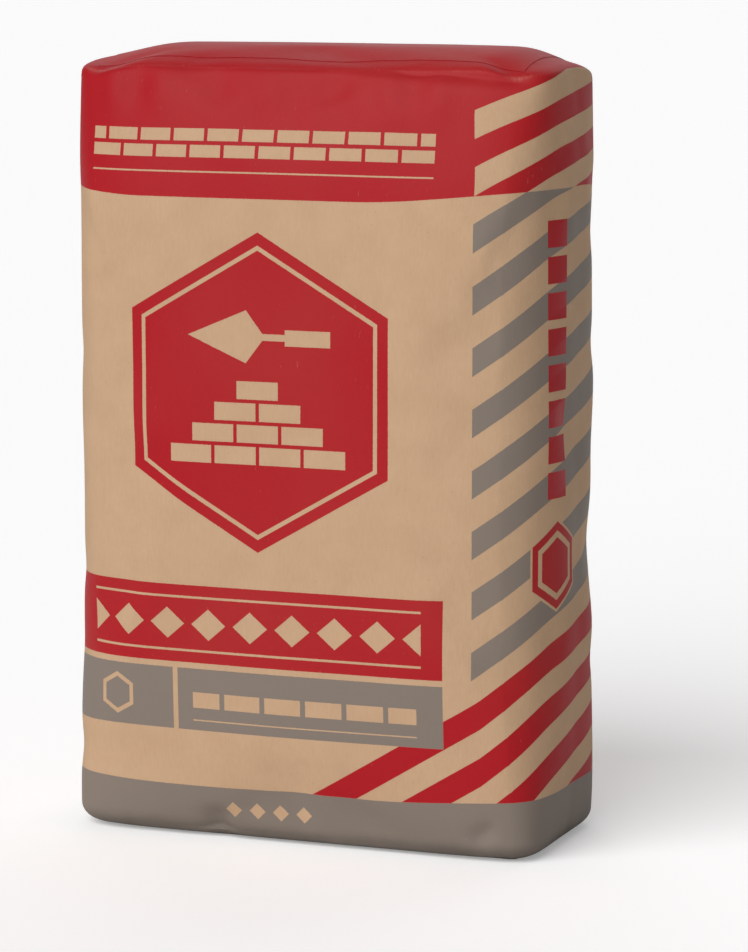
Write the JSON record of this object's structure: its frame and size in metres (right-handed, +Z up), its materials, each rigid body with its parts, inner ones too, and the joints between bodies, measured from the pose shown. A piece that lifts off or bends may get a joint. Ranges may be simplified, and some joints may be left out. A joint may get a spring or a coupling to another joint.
{
  "type": "cement bag",
  "caption": "Upright filled block-bottom valve sack of printed kraft paper, holding cement powder.",
  "frame": {"origin": "on the floor under the middle of the standing sack", "axes": "+Z up along the sack's height, +X along its width, -Y out of its printed front face"},
  "size_m": [0.388, 0.196, 0.6],
  "materials": {
    "printed_kraft": "satin printed kraft paper",
    "red_printed_paper": "satin printed kraft paper",
    "grey_printed_paper": "satin printed kraft paper",
    "plain_kraft": "matt unprinted kraft paper",
    "cement_powder": "fine grey powder"
  },
  "bodies": {
    "root": {"paper_sack": "printed_kraft", "top_patch": "red_printed_paper", "bottom_patch": "grey_printed_paper", "valve_sleeve": "plain_kraft", "cement_fill": "cement_powder"}
  },
  "joints": []
}
